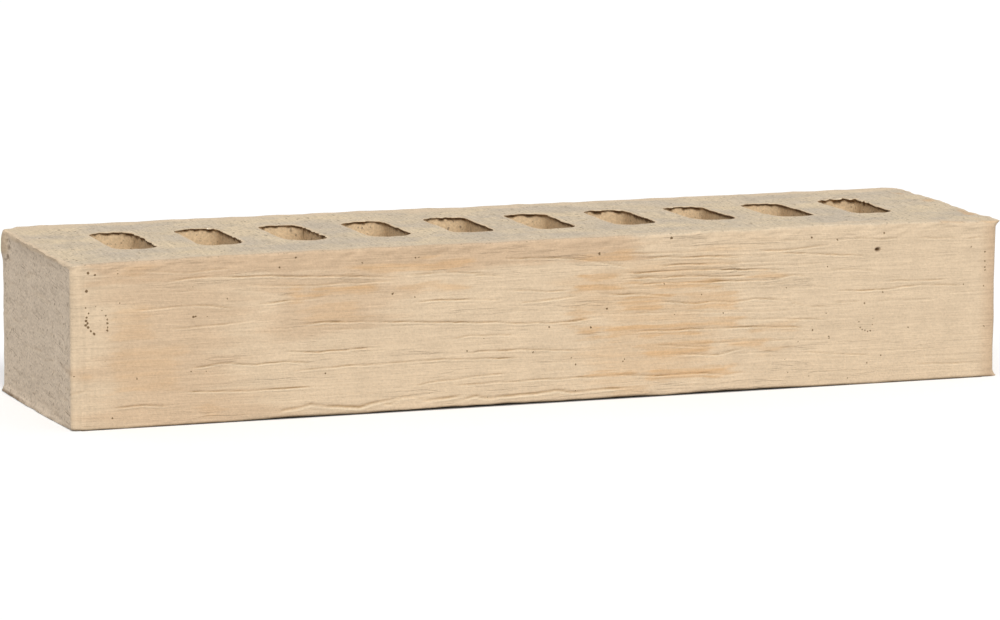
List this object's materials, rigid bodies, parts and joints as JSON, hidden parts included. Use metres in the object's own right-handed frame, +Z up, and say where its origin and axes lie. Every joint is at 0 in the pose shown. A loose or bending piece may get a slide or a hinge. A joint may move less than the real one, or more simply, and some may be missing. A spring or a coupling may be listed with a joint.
{
  "type": "facing brick",
  "caption": "Long-format buff facing brick, extruded and wire-cut, with a single row of rounded slots right through it between the two bed faces.",
  "frame": {"origin": "middle of the lower bed face, on the surface that the brick lies on", "axes": "+X along the brick's length, -Y out of the face that shows in the wall, +Z up through the slots"},
  "size_m": [0.3938, 0.102, 0.065],
  "materials": {
    "fired_clay": "matt unglazed fired buff clay, with smooth extruded faces and rough wire-cut beds"
  },
  "bodies": {
    "root": {"facing_brick": "fired_clay"}
  },
  "joints": []
}
